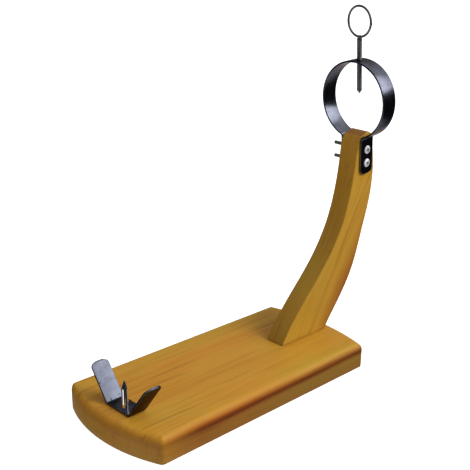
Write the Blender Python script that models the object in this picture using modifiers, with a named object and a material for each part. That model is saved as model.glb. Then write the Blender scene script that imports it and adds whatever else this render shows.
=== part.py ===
"""Ham-carving stand: a thick board, a curved upright with a strap collar and its pointed eye screw, and a
V-shaped cradle with a spike.

Origin: centre of the board's underside. +X runs towards the upright, +Z is up, and the heads of the collar's
screws are on the -Y side. Sizes are in millimetres here and become metres by MM.
"""

import math

import bmesh
import bpy
from mathutils import Matrix, Vector

MM = 0.001

# Gaps between pieces that touch or pass through each other, and how far a cutter runs past what it cuts
GAP = 0.3
BOLT_CLEARANCE = 0.5
PAST = 5.0

# Board: straight sides, bowed ends, rounded top edges
BOARD_LENGTH = 358.0
BOARD_WIDTH = 180.0
BOARD_THICKNESS = 35.5
FRONT_BOW = 20.0
REAR_BOW = 15.0
BOARD_CORNER = 6.0
BOARD_CORNER_LEAST = 0.5
BOARD_ROUND = 10.0
BOARD_FOOT_EDGE = 1.0

# Upright: its outline stands on the board, and every height is above the board's top
ARM_Y = -6.0
ARM_THICKNESS = 30.0
ARM_HEIGHT = 269.4
ARM_LEAN = 142.0
ARM_FOOT_LENGTH = 88.0
ARM_FOOT_BEHIND = 17.6
ARM_EDGE = 2.5
ARM_TOP_LENGTH = 25.5
ARM_BACK_BULGE = 31.7

# Collar: one flat bar, a ring with two legs on the upright's sides
STRAP_WIDTH = 25.0
STRAP_THICKNESS = 2.5
RING_RADIUS = 53.0
RING_TILT = math.radians(3.3)
RING_SINKS_BELOW_ARM_TOP = 6.0
RING_BEHIND_ARM = 7.7
COLLAR_BEND = 5.0
LEG_END_BELOW_ARM_TOP = 52.0
LEG_END_ROUND = 7.0
LEG_END_FLAT = 8.0

# Collar screws, M5 with truss heads, and their hexagon nuts
COLLAR_SCREW_DIAMETER = 5.0
COLLAR_SCREW_LENGTH = 57.5
COLLAR_HEAD_DIAMETER = 11.4
COLLAR_HEAD_HEIGHT = 2.0
COLLAR_HEAD_RIM = 0.5
COLLAR_SCREW_CHAMFER = 0.7
UPPER_SCREW_BELOW_ARM_TOP = 19.5
COLLAR_SCREW_SPACING = 18.6
NUT_ACROSS_FLATS = 8.0
NUT_THICKNESS = 4.0

# Eye screw: a pointed M7 rod with a wire ring welded on top, its plane a little turned from the collar's
PIN_DIAMETER = 7.0
PIN_LENGTH = 72.5
PIN_POINT = 4.5
PIN_ABOVE_COLLAR = 27.5
PIN_LEAN = math.radians(2.0)
PIN_RING_DIAMETER = 42.0
PIN_RING_TURN = math.radians(3.0)
PIN_WIRE = 3.0
PIN_WELD_PROUD = 0.2
PIN_WELD_LENGTH = 3.0

# Cradle: one flat bar with a floor and two legs that lean outwards
CRADLE_FROM_FRONT = 12.5
CRADLE_Y = -6.0
CRADLE_FLOOR = 42.0
CRADLE_ANGLE = math.radians(54.0)
CRADLE_FAR_LEG = 52.0
CRADLE_NEAR_LEG = 58.5
CRADLE_BEND = 3.0
CRADLE_END_ROUND = 7.0
CRADLE_END_FLAT = 5.0

# Spike: a pointed stud through the cradle and the board, with a washer and a nut in a pocket underneath
SPIKE_DIAMETER = 8.0
SPIKE_POINT = 12.0
SPIKE_ABOVE_BOARD = 41.5
SPIKE_AHEAD_OF_CRADLE = 4.5
SPIKE_BESIDE_CRADLE = 5.5
SPIKE_END_HEIGHT = 3.0
SPIKE_WASHER_DIAMETER = 16.0
SPIKE_WASHER_THICKNESS = 1.6
SPIKE_NUT_ACROSS_FLATS = 13.0
SPIKE_NUT_THICKNESS = 6.5
SPIKE_END_PAST_NUT = 1.5
SPIKE_POCKET_DIAMETER = 24.0

# Countersunk screws and dowels between the board and the upright's foot
ARM_SCREW_DIAMETER = 6.0
ARM_SCREW_LENGTH = 66.0
ARM_SCREW_HEAD = 12.0
ARM_SCREW_POINT = 8.0
ARM_SCREW_RECESS = 4.0
FIRST_DOWEL_FROM_TOE = 16.0
LAST_SCREW_FROM_HEEL = 19.0
DOWEL_DIAMETER = 8.0
DOWEL_LENGTH = 34.0
DOWEL_CHAMFER = 1.0

ROUND_SIDES = 24
RING_STEPS = 56

ARM_FOOT_X = BOARD_LENGTH / 2 + REAR_BOW - ARM_FOOT_BEHIND - ARM_FOOT_LENGTH
ARM_BOTTOM = BOARD_THICKNESS + GAP
FOOT_PITCH = (ARM_FOOT_LENGTH - FIRST_DOWEL_FROM_TOE - LAST_SCREW_FROM_HEEL) / 3
RING_ABOVE_ARM = RING_RADIUS - RING_SINKS_BELOW_ARM_TOP
LEG_END_BELOW_RING = RING_ABOVE_ARM + LEG_END_BELOW_ARM_TOP
UPPER_SCREW_BELOW_RING = RING_ABOVE_ARM + UPPER_SCREW_BELOW_ARM_TOP
RING_X = ARM_FOOT_X + ARM_LEAN + RING_BEHIND_ARM
RING_CENTRE = Vector((RING_X, ARM_Y, ARM_BOTTOM + ARM_HEIGHT + RING_ABOVE_ARM))
RING_AXIS = Vector((math.cos(RING_TILT), 0.0, math.sin(RING_TILT)))
RING_UP = Vector((-math.sin(RING_TILT), 0.0, math.cos(RING_TILT)))
RING_MID_RADIUS = RING_RADIUS - STRAP_THICKNESS / 2
LEG_MID_Y = ARM_THICKNESS / 2 + GAP + STRAP_THICKNESS / 2
LEG_OUTER_Y = LEG_MID_Y + STRAP_THICKNESS / 2
CRADLE_X = CRADLE_FROM_FRONT - BOARD_LENGTH / 2
CRADLE_FLOOR_BOTTOM = BOARD_THICKNESS + GAP
SPIKE_X = CRADLE_X - SPIKE_AHEAD_OF_CRADLE
SPIKE_Y = CRADLE_Y - SPIKE_BESIDE_CRADLE
SPIKE_NUT_BOTTOM = SPIKE_END_HEIGHT + SPIKE_END_PAST_NUT
SPIKE_WASHER_BOTTOM = SPIKE_NUT_BOTTOM + SPIKE_NUT_THICKNESS + GAP
SPIKE_POCKET_TOP = SPIKE_WASHER_BOTTOM + SPIKE_WASHER_THICKNESS + GAP
DOWEL_BOTTOM = BOARD_THICKNESS - DOWEL_LENGTH / 2


def clear_scene():
    for obj in list(bpy.data.objects):
        bpy.data.objects.remove(obj, do_unlink=True)


def new_collection(name):
    collection = bpy.data.collections.new(name)
    bpy.context.scene.collection.children.link(collection)
    return collection


def new_material(name, colour, roughness, metallic):
    material = bpy.data.materials.new(name)
    material.use_nodes = True
    shader = material.node_tree.nodes["Principled BSDF"]
    shader.inputs["Base Color"].default_value = (*colour, 1.0)
    shader.inputs["Roughness"].default_value = roughness
    shader.inputs["Metallic"].default_value = metallic
    material.diffuse_color = (*colour, 1.0)
    return material


def add_object(name, mesh, material=None, matrix=None):
    """A part when it has a material, a cutter when it has none."""
    obj = bpy.data.objects.new(name, mesh)
    if material:
        mesh.materials.append(material)
        parts.objects.link(obj)
    else:
        cutters.objects.link(obj)
        obj.hide_render = True
        obj.display_type = "WIRE"
    if matrix:
        obj.matrix_world = matrix
    return obj


def placed(origin, z_axis=Vector((0, 0, 1)), x_hint=Vector((1, 0, 0))):
    """The matrix that stands a piece at origin with its +Z along z_axis."""
    z = z_axis.normalized()
    x = (x_hint - z * x_hint.dot(z)).normalized()
    y = z.cross(x)
    matrix = Matrix((x, y, z)).transposed().to_4x4()
    matrix.translation = Vector(origin) * MM
    return matrix


def smooth(mesh, degrees=35):
    mesh.shade_smooth()
    mesh.set_sharp_from_angle(angle=math.radians(degrees))


def turned(name, profile, material=None, matrix=None):
    """A solid turned about Z from (radius, height) points that run from its top to its bottom."""
    mesh = bpy.data.meshes.new(name)
    points = [(radius * MM, 0.0, height * MM) for radius, height in profile]
    mesh.from_pydata(points, [(i, i + 1) for i in range(len(points) - 1)], [])
    obj = add_object(name, mesh, material, matrix)
    screw = obj.modifiers.new("Turn", "SCREW")
    screw.axis = "Z"
    screw.steps = ROUND_SIDES
    screw.render_steps = ROUND_SIDES
    screw.use_merge_vertices = True
    screw.merge_threshold = 0.00001
    screw.use_smooth_shade = True
    return obj


def drill(name, target, radius, start, end):
    """A round hole through target from start to end, both in millimetres."""
    start = Vector(start)
    direction = Vector(end) - start
    length = direction.length
    profile = [(0, length), (radius, length), (radius, 0), (0, 0)]
    hint = Vector((1, 0, 0)) if abs(direction.normalized().x) < 0.9 else Vector((0, 1, 0))
    cut(target, turned(name, profile, matrix=placed(start, direction, hint)))


def cut(target, cutter):
    boolean = target.modifiers.new(cutter.name, "BOOLEAN")
    boolean.operation = "DIFFERENCE"
    boolean.solver = "EXACT"
    boolean.object = cutter


def arc(centre, radius, start, end, steps):
    """Points on a circle in a plane, from angle start to angle end."""
    for i in range(steps + 1):
        angle = start + (end - start) * i / steps
        yield centre[0] + radius * math.cos(angle), centre[1] + radius * math.sin(angle)


def bow_radius(width, bow):
    return (width * width / 4 + bow * bow) / (2 * bow)


def end_arc(inset, bow, corner, steps=16):
    """The bowed end of the board facing +X, from its -Y side to its +Y side, with its two corners rounded."""
    radius = bow_radius(BOARD_WIDTH, bow)
    centre_x = BOARD_LENGTH / 2 + bow - radius
    corner = max(corner - inset, BOARD_CORNER_LEAST)
    corner_y = BOARD_WIDTH / 2 - inset - corner
    reach = radius - inset - corner
    corner_x = centre_x + math.sqrt(reach * reach - corner_y * corner_y)
    sweep = math.atan2(corner_y, corner_x - centre_x)
    yield from arc((corner_x, -corner_y), corner, -math.pi / 2, -sweep, 4)
    yield from list(arc((centre_x, 0.0), radius - inset, -sweep, sweep, steps))[1:-1]
    yield from arc((corner_x, corner_y), corner, sweep, math.pi / 2, 4)


def board_outline(inset):
    rear = list(end_arc(inset, REAR_BOW, BOARD_CORNER))
    front = [(-x, -y) for x, y in end_arc(inset, FRONT_BOW, BOARD_CORNER)]
    return rear + front


def loft(name, levels, material):
    """A closed solid skinned over (outline, height) levels, from the bottom to the top."""
    mesh = bpy.data.meshes.new(name)
    bm = bmesh.new()
    rings = [[bm.verts.new((x * MM, y * MM, z * MM)) for x, y in outline] for outline, z in levels]
    for low, high in zip(rings, rings[1:]):
        for i in range(len(low)):
            j = (i + 1) % len(low)
            bm.faces.new((low[i], low[j], high[j], high[i]))
    bm.faces.new(list(reversed(rings[0])))
    bm.faces.new(rings[-1])
    bm.to_mesh(mesh)
    bm.free()
    smooth(mesh, 30)
    return add_object(name, mesh, material)


def round_over(radius, steps):
    """(inset, depth) pairs from a side face up over a rounded edge to the top face."""
    for i in range(steps + 1):
        angle = math.pi / 2 * i / steps
        yield radius * (1 - math.cos(angle)), radius * (1 - math.sin(angle))


def make_board():
    levels = [(board_outline(BOARD_FOOT_EDGE), 0.0), (board_outline(0.0), BOARD_FOOT_EDGE)]
    for inset, depth in round_over(BOARD_ROUND, 5):
        levels.append((board_outline(inset), BOARD_THICKNESS - depth))
    board = loft("base_board", levels, wood)
    for name, x in foot_places("arm_screw"):
        cut(board, turned(f"cut_{name}_board", arm_screw_hole(), matrix=placed((x, ARM_Y, ARM_SCREW_RECESS))))
    for name, x in foot_places("arm_dowel"):
        bottom = (x, ARM_Y, DOWEL_BOTTOM - GAP)
        drill(f"cut_{name}_board", board, DOWEL_DIAMETER / 2 + GAP, bottom, (x, ARM_Y, BOARD_THICKNESS + PAST))
    below = (SPIKE_X, SPIKE_Y, -PAST)
    above = (SPIKE_X, SPIKE_Y, BOARD_THICKNESS + PAST)
    drill("cut_spike_hole", board, SPIKE_DIAMETER / 2 + GAP, below, above)
    drill("cut_spike_pocket", board, SPIKE_POCKET_DIAMETER / 2, below, (SPIKE_X, SPIKE_Y, SPIKE_POCKET_TOP))
    return board


def arm_outline():
    """Bezier points of the upright's side view, each as (point, handle before, handle after), in (x, height).

    The front edge and the waist follow the lean and the height, and the top keeps its own length.
    """
    lean, height, foot = ARM_LEAN, ARM_HEIGHT, ARM_FOOT_LENGTH
    crest = lean + ARM_TOP_LENGTH
    back = lean + ARM_BACK_BULGE
    toe = ((0, 0), (0.2 * foot, 0), (0.08 * foot, 0.063 * height))
    front = [
        ((0.314 * lean, 0.215 * height), (0.226 * lean, 0.166 * height), (0.560 * lean, 0.349 * height)),
        ((0.884 * lean, 0.696 * height), (0.785 * lean, 0.471 * height), (0.925 * lean, 0.789 * height)),
        ((0.949 * lean, 0.927 * height), (0.937 * lean, 0.852 * height), (0.956 * lean, 0.960 * height)),
    ]
    top = [
        ((lean, height), (0.971 * lean, 0.985 * height), (lean + 5, height + 1.3)),
        ((crest - 11.5, height + 4), (crest - 16.5, height + 2.8), (crest - 6.5, height + 5)),
        ((crest, height - 9), (crest - 1, height), (crest + 2, height - 20)),
    ]
    rear = [
        ((back, 0.798 * height), (back, 0.862 * height), (back, 0.704 * height)),
        ((lean + 18.5, 0.528 * height), (lean + 27, 0.630 * height), (lean + 8, 0.398 * height)),
        ((foot + 37.5, 0.194 * height), (foot + 59, 0.314 * height), (foot + 20, 0.097 * height)),
    ]
    heel = ((foot, 0), (foot + 5, 0.04 * height), (0.8 * foot, 0))
    return [toe, *front, *top, *rear, heel]


def make_arm():
    curve = bpy.data.curves.new("arm_outline", "CURVE")
    curve.dimensions = "2D"
    curve.fill_mode = "BOTH"
    curve.extrude = ARM_THICKNESS / 2 * MM
    curve.resolution_u = 7
    spline = curve.splines.new("BEZIER")
    outline = arm_outline()
    spline.bezier_points.add(len(outline) - 1)
    spline.use_cyclic_u = True
    for target, triple in zip(spline.bezier_points, outline):
        target.handle_left_type = target.handle_right_type = "FREE"
        target.co, target.handle_left, target.handle_right = [(x * MM, z * MM, 0.0) for x, z in triple]
    guide = bpy.data.objects.new("arm_outline", curve)
    cutters.objects.link(guide)
    graph = bpy.context.evaluated_depsgraph_get()
    mesh = bpy.data.meshes.new_from_object(guide.evaluated_get(graph))
    bpy.data.objects.remove(guide)
    bm = bmesh.new()
    bm.from_mesh(mesh)
    bmesh.ops.remove_doubles(bm, verts=bm.verts, dist=0.00001)
    bmesh.ops.dissolve_limit(bm, angle_limit=0.001, verts=bm.verts, edges=bm.edges)
    bmesh.ops.recalc_face_normals(bm, faces=bm.faces)
    bm.to_mesh(mesh)
    bm.free()
    arm = add_object("upright_arm", mesh, wood)
    arm.matrix_world = Matrix.Translation(Vector((ARM_FOOT_X, ARM_Y, ARM_BOTTOM)) * MM) @ Matrix.Rotation(
        math.pi / 2, 4, "X")
    edge = arm.modifiers.new("Eased edges", "BEVEL")
    edge.width = ARM_EDGE * MM
    edge.segments = 2
    edge.limit_method = "ANGLE"
    edge.angle_limit = math.radians(60)
    smooth(mesh, 40)
    return arm


def cut_arm(arm):
    for name, place in collar_screw_places():
        radius = COLLAR_SCREW_DIAMETER / 2 + BOLT_CLEARANCE
        across = Vector((0, ARM_THICKNESS / 2 + PAST, 0))
        drill(f"cut_{name}_arm", arm, radius, place - across, place + across)
    for name, x in foot_places("arm_screw"):
        cut(arm, turned(f"cut_{name}_arm", arm_screw_hole(), matrix=placed((x, ARM_Y, ARM_SCREW_RECESS))))
    for name, x in foot_places("arm_dowel"):
        top = DOWEL_BOTTOM + DOWEL_LENGTH + GAP
        bottom = (x, ARM_Y, BOARD_THICKNESS - PAST)
        drill(f"cut_{name}_arm", arm, DOWEL_DIAMETER / 2 + GAP, bottom, (x, ARM_Y, top))


def strip(name, stations, along, material, thickness):
    """A bar bent from flat strip: stations are (middle point, half width), along is the strip's width."""
    mesh = bpy.data.meshes.new(name)
    bm = bmesh.new()
    rows = []
    for middle, half in stations:
        rows.append([bm.verts.new((middle + along * side * half) * MM) for side in (-1, 1)])
    for low, high in zip(rows, rows[1:]):
        bm.faces.new((low[0], low[1], high[1], high[0]))
    bm.to_mesh(mesh)
    bm.free()
    smooth(mesh, 30)
    obj = add_object(name, mesh, material)
    solidify = obj.modifiers.new("Thickness", "SOLIDIFY")
    solidify.thickness = thickness * MM
    solidify.offset = 0.0
    solidify.use_even_offset = True
    return obj


def rounded_end(tip, inward, half_width, flat, radius, steps=5):
    """Stations of a bar's rounded end, from its tip inwards."""
    for i in range(steps + 1):
        angle = math.pi / 2 * i / steps
        half = flat / 2 + (half_width - flat / 2) * math.sin(angle)
        yield tip + inward * radius * (1 - math.cos(angle)), half


def on_collar(y, up):
    """A point in the collar's middle plane, by its distance across and its height above the ring's centre."""
    return RING_CENTRE + Vector((0, y, 0)) + RING_UP * up


def collar_stations():
    half = STRAP_WIDTH / 2
    bend_y = LEG_MID_Y + COLLAR_BEND
    reach = RING_MID_RADIUS + COLLAR_BEND
    bend_up = -math.sqrt(reach * reach - bend_y * bend_y)
    sweep = math.atan2(-bend_up, bend_y)
    path = list(arc((bend_y, bend_up), COLLAR_BEND, math.pi, math.pi - sweep, 6))
    path += list(arc((0, 0), RING_MID_RADIUS, -sweep, math.pi / 2, RING_STEPS // 2))[1:]
    near = [(y, up) for y, up in path]
    far = [(-y, up) for y, up in reversed(near[:-1])]
    up = Vector(RING_UP)
    stations = []
    for points, side in ((near, 1), (far, -1)):
        ring = [(on_collar(y, up_), half) for y, up_ in points]
        tip = on_collar(side * LEG_MID_Y, -LEG_END_BELOW_RING)
        end = list(rounded_end(tip, up, half, LEG_END_FLAT, LEG_END_ROUND))
        stations += end + ring if side > 0 else ring + end[::-1]
    return stations


def collar_screw_places():
    for i, name in enumerate(("collar_screw_upper", "collar_screw_lower")):
        yield name, on_collar(0, -(UPPER_SCREW_BELOW_RING + i * COLLAR_SCREW_SPACING))


def make_collar():
    collar = strip("collar_strap", collar_stations(), RING_AXIS, black_steel, STRAP_THICKNESS)
    reach = LEG_OUTER_Y + PAST
    for name, place in collar_screw_places():
        radius = COLLAR_SCREW_DIAMETER / 2 + BOLT_CLEARANCE
        across = Vector((0, reach, 0))
        drill(f"cut_{name}_collar", collar, radius, place - across, place + across)
    drill("cut_pin_collar", collar, PIN_DIAMETER / 2 + GAP, pin_at(-STRAP_THICKNESS - PAST), pin_at(PAST))
    return collar


def truss_head(radius, height, steps=5):
    """Profile of a domed screw head, from the middle of its crown down to its rim."""
    sphere = (radius * radius + height * height) / (2 * height)
    half_angle = math.asin(radius / sphere)
    for i in range(steps + 1):
        angle = half_angle * i / steps
        yield sphere * math.sin(angle), sphere * math.cos(angle) - sphere + height


def make_collar_screws():
    """Each screw points along +Y: its head's crown is the top of its profile, so that axis is -Y."""
    shank = COLLAR_SCREW_DIAMETER / 2
    for name, place in collar_screw_places():
        crown = list(truss_head(COLLAR_HEAD_DIAMETER / 2, COLLAR_HEAD_HEIGHT - COLLAR_HEAD_RIM))
        profile = [(radius, height + COLLAR_HEAD_RIM) for radius, height in crown]
        profile += [(COLLAR_HEAD_DIAMETER / 2, 0), (shank, 0)]
        profile += [(shank, COLLAR_SCREW_CHAMFER - COLLAR_SCREW_LENGTH)]
        profile += [(shank - COLLAR_SCREW_CHAMFER, -COLLAR_SCREW_LENGTH), (0, -COLLAR_SCREW_LENGTH)]
        head_plane = place + Vector((0, -LEG_OUTER_Y - GAP, 0))
        turned(name, profile, zinc, placed(head_plane, Vector((0, -1, 0))))


def nut(name, across_flats, thickness, hole, material, matrix):
    """A hexagon nut whose hole runs along its own Z, from 0 to thickness."""
    bm = bmesh.new()
    bmesh.ops.create_cone(bm, cap_ends=True, segments=6, radius1=across_flats / math.sqrt(3) * MM,
                          radius2=across_flats / math.sqrt(3) * MM, depth=thickness * MM,
                          matrix=Matrix.Translation((0, 0, thickness / 2 * MM)))
    mesh = bpy.data.meshes.new(name)
    bm.to_mesh(mesh)
    bm.free()
    obj = add_object(name, mesh, material, matrix)
    profile = [(0, thickness + PAST), (hole, thickness + PAST), (hole, -PAST), (0, -PAST)]
    cut(obj, turned(f"cut_{name}", profile, matrix=matrix))
    return obj


def make_collar_nuts():
    for name, place in collar_screw_places():
        origin = place + Vector((0, LEG_OUTER_Y + GAP, 0))
        nut(name.replace("screw", "nut"), NUT_ACROSS_FLATS, NUT_THICKNESS, COLLAR_SCREW_DIAMETER / 2 + GAP,
            zinc, placed(origin, Vector((0, 1, 0)), RING_AXIS))


def pin_direction():
    return (RING_UP * math.cos(PIN_LEAN) + Vector((0, 1, 0)) * math.sin(PIN_LEAN)).normalized()


def pin_at(height):
    """A point on the eye screw's axis, by its height above the collar's top."""
    return on_collar(0, RING_RADIUS) + pin_direction() * height


def make_pin():
    radius = PIN_DIAMETER / 2
    rod = [(0, 0), (radius, 0), (radius, PIN_POINT - PIN_LENGTH), (0, -PIN_LENGTH)]
    turned("pin_rod", rod, black_steel, placed(pin_at(PIN_ABOVE_COLLAR), pin_direction(), RING_AXIS))

    wire_circle = (PIN_RING_DIAMETER - PIN_WIRE) / 2
    bpy.ops.mesh.primitive_torus_add(major_radius=wire_circle * MM, minor_radius=PIN_WIRE / 2 * MM,
                                     major_segments=40, minor_segments=10)
    ring = bpy.context.object
    ring.name = ring.data.name = "pin_ring"
    for collection in list(ring.users_collection):
        collection.objects.unlink(ring)
    parts.objects.link(ring)
    ring.data.materials.append(black_steel)
    ring_foot = PIN_ABOVE_COLLAR + GAP
    ring_axis = RING_AXIS * math.cos(PIN_RING_TURN) - Vector((0, 1, 0)) * math.sin(PIN_RING_TURN)
    ring.matrix_world = placed(pin_at(ring_foot + PIN_RING_DIAMETER / 2), ring_axis, pin_direction())
    smooth(ring.data, 60)

    weld_radius = radius + PIN_WELD_PROUD
    weld = [(0, PIN_WELD_LENGTH), (weld_radius * 0.6, PIN_WELD_LENGTH), (weld_radius, PIN_WELD_LENGTH / 2),
            (weld_radius * 0.85, 0), (0, 0)]
    bead = turned("weld_bead", weld, matrix=placed(pin_at(ring_foot), pin_direction(), RING_AXIS))
    join = ring.modifiers.new("Weld bead", "BOOLEAN")
    join.operation = "UNION"
    join.solver = "EXACT"
    join.object = bead


def cradle_point(y, height):
    return Vector((CRADLE_X, CRADLE_Y + y, CRADLE_FLOOR_BOTTOM + STRAP_THICKNESS / 2 + height))


def cradle_half(side, leg):
    """Stations from a leg's tip down to the middle of the floor; side is 1 for the far leg, -1 for the near."""
    half = STRAP_WIDTH / 2
    outwards = Vector((0, side * math.cos(CRADLE_ANGLE), math.sin(CRADLE_ANGLE)))
    corner = side * CRADLE_FLOOR / 2
    tip = cradle_point(corner, 0) + outwards * leg
    stations = list(rounded_end(tip, -outwards, half, CRADLE_END_FLAT, CRADLE_END_ROUND))
    centre_y = corner - side * CRADLE_BEND * math.tan(CRADLE_ANGLE / 2)
    for y, z in arc((0, CRADLE_BEND), CRADLE_BEND, CRADLE_ANGLE - math.pi / 2, -math.pi / 2, 5):
        stations.append((cradle_point(centre_y + side * y, z), half))
    return stations


def make_cradle():
    near = cradle_half(-1, CRADLE_NEAR_LEG)
    far = cradle_half(1, CRADLE_FAR_LEG)
    stations = near + far[::-1]
    cradle = strip("cradle_bracket", stations, Vector((1, 0, 0)), black_steel, STRAP_THICKNESS)
    below = (SPIKE_X, SPIKE_Y, CRADLE_FLOOR_BOTTOM - PAST)
    above = (SPIKE_X, SPIKE_Y, CRADLE_FLOOR_BOTTOM + STRAP_THICKNESS + PAST)
    drill("cut_spike_cradle", cradle, SPIKE_DIAMETER / 2 + GAP, below, above)
    return cradle


def make_spike():
    radius = SPIKE_DIAMETER / 2
    tip = BOARD_THICKNESS + SPIKE_ABOVE_BOARD
    profile = [(0, tip), (radius, tip - SPIKE_POINT), (radius, SPIKE_END_HEIGHT), (0, SPIKE_END_HEIGHT)]
    turned("cradle_spike", profile, bright_steel, placed((SPIKE_X, SPIKE_Y, 0)))

    hole = radius + GAP
    rim = SPIKE_WASHER_DIAMETER / 2
    washer = [(hole, SPIKE_WASHER_THICKNESS), (rim, SPIKE_WASHER_THICKNESS), (rim, 0), (hole, 0),
              (hole, SPIKE_WASHER_THICKNESS)]
    turned("spike_washer", washer, zinc, placed((SPIKE_X, SPIKE_Y, SPIKE_WASHER_BOTTOM)))
    nut("spike_nut", SPIKE_NUT_ACROSS_FLATS, SPIKE_NUT_THICKNESS, hole, zinc,
        placed((SPIKE_X, SPIKE_Y, SPIKE_NUT_BOTTOM)))


def foot_places(kind):
    """The dowels and the screws stand in one row along the foot, dowel first, a pitch apart."""
    first = ARM_FOOT_X + FIRST_DOWEL_FROM_TOE + (FOOT_PITCH if kind == "arm_screw" else 0)
    for i, end in enumerate(("front", "rear")):
        yield f"{kind}_{end}", first + 2 * FOOT_PITCH * i


def arm_screw_profile():
    """A countersunk screw with its head's flat at height 0 and its point upwards."""
    shank = ARM_SCREW_DIAMETER / 2
    head = ARM_SCREW_HEAD / 2
    top = ARM_SCREW_LENGTH
    return [(0, top), (shank, top - ARM_SCREW_POINT), (shank, head - shank), (head, 0), (0, 0)]


def arm_screw_hole():
    """The same outline a gap larger all round, run on downwards as the recess for the head."""
    shank = ARM_SCREW_DIAMETER / 2 + GAP
    head = ARM_SCREW_HEAD / 2 + GAP * math.sqrt(2)
    steepness = ARM_SCREW_POINT / (ARM_SCREW_DIAMETER / 2)
    top = ARM_SCREW_LENGTH + GAP * math.hypot(1, steepness)
    foot = -ARM_SCREW_RECESS - PAST
    taper = [(0, top), (shank, top - shank * steepness)]
    return taper + [(shank, head - shank), (head, 0), (head, foot), (0, foot)]


def make_foot_fixings():
    for name, x in foot_places("arm_screw"):
        turned(name, arm_screw_profile(), zinc, placed((x, ARM_Y, ARM_SCREW_RECESS)))
    radius = DOWEL_DIAMETER / 2
    end = radius - DOWEL_CHAMFER
    profile = [(0, DOWEL_LENGTH), (end, DOWEL_LENGTH), (radius, DOWEL_LENGTH - DOWEL_CHAMFER),
               (radius, DOWEL_CHAMFER), (end, 0), (0, 0)]
    for name, x in foot_places("arm_dowel"):
        turned(name, profile, beech, placed((x, ARM_Y, DOWEL_BOTTOM)))


clear_scene()
parts = new_collection("ham_carving_stand")
cutters = new_collection("cutters")
wood = new_material("varnished_pine", (0.46, 0.22, 0.05), 0.4, 0.0)
beech = new_material("dowel_beech", (0.55, 0.36, 0.17), 0.7, 0.0)
black_steel = new_material("blackened_steel", (0.05, 0.055, 0.07), 0.35, 1.0)
bright_steel = new_material("bright_steel", (0.75, 0.75, 0.76), 0.15, 1.0)
zinc = new_material("zinc_plated_steel", (0.62, 0.63, 0.65), 0.3, 1.0)

make_board()
cut_arm(make_arm())
make_collar()
make_collar_screws()
make_collar_nuts()
make_pin()
make_cradle()
make_spike()
make_foot_fixings()
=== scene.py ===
"""The look of the ham-carving stand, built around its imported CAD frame.

Sizes are in metres, in the frame's own axes: +X towards the upright, +Z up, screw heads on the -Y side.
"""

import math

import bmesh
import bpy
from mathutils import Matrix, Vector, noise


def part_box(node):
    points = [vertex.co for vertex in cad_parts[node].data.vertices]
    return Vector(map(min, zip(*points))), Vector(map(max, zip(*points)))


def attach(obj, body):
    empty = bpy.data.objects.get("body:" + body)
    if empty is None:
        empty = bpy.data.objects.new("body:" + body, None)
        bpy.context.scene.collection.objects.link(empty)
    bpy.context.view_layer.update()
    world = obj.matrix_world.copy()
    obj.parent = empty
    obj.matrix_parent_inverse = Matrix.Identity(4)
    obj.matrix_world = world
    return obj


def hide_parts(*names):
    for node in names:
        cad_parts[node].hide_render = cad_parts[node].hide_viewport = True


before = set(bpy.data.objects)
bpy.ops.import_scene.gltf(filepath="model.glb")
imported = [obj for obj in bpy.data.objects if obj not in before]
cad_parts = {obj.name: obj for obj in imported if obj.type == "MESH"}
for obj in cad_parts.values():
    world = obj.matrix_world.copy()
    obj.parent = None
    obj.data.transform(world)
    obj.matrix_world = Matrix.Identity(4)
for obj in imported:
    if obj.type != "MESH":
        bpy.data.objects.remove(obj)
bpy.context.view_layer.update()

MM = 0.001
X_AXIS = Vector((1, 0, 0))
Y_AXIS = Vector((0, 1, 0))
Z_AXIS = Vector((0, 0, 1))

# The stand's own sizes: the CAD's, and the finer edges and holes that only the look has
BOARD_FRONT_BOW = 20 * MM
BOARD_REAR_BOW = 15 * MM
BOARD_CORNER = 6 * MM
BOARD_ROUND = 10 * MM
BOARD_FOOT_EDGE = 1 * MM
LESS_SANDED_REACH = 60 * MM
LEAST_SANDED = 0.5
SCREW_HEAD_HOLE = 6.45 * MM
SCREW_HEAD_SEAT = 1.4 * MM
SCREW_SHANK_HOLE = 3.4 * MM
FOOT_SCREW_SHANK = 3 * MM
FOOT_SCREW_HEAD = 6 * MM
SPIKE_POCKET = 12 * MM
SPIKE_HOLE = 4.3 * MM
ARM_EDGE = 2.5 * MM
COLLAR_SCREW_HOLE = 3 * MM
STRAP_THICKNESS = 2.5 * MM
STRAP_HALF = 12.5 * MM
STRAP_EDGE = 0.45 * MM
RING_TILT = math.radians(3.3)
COLLAR_BEND = 5 * MM
PIN_RADIUS = 3.5 * MM
PIN_ABOVE_COLLAR = 27.5 * MM
PIN_LENGTH = 72.5 * MM
PIN_POINT = 4.5 * MM
PIN_HOLE = 3.65 * MM
PIN_PITCH = 1.0 * MM
PIN_LEAN = math.radians(2.0)
PIN_RING_RADIUS = 19.5 * MM
PIN_RING_WIRE = 1.5 * MM
PIN_RING_TURN = math.radians(3.0)
CRADLE_ANGLE = math.radians(54.0)
CRADLE_BEND = 3 * MM
CRADLE_Y = -6 * MM
CRADLE_FLOOR_HALF = 21 * MM
CRADLE_NEAR_LEG = 58.5 * MM
CRADLE_FAR_LEG = 52 * MM
CRADLE_HOLE = 4.15 * MM
M5_PITCH = 0.8 * MM
M8_PITCH = 1.25 * MM
WOOD_PITCH = 2.4 * MM
GAP = 0.3 * MM
PAST = 10 * MM

# The CAD nodes that are handled together
FOOT_SCREWS = ("arm_screw_front", "arm_screw_rear")
FOOT_DOWELS = ("arm_dowel_front", "arm_dowel_rear")
COLLAR_SCREWS = ("collar_screw_upper", "collar_screw_lower")

# Camera
CAMERA_AZIMUTH = math.radians(-45.575)
CAMERA_ELEVATION = math.radians(23.065)
CAMERA_ROLL = math.radians(1.418)
CAMERA_TARGET = Vector((0.05999, 0.0, 0.12001))
CAMERA_DISTANCE = 1.19904
CAMERA_LENS = 69.34
CAMERA_SHIFT = (-0.0488, 0.1189)

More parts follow.
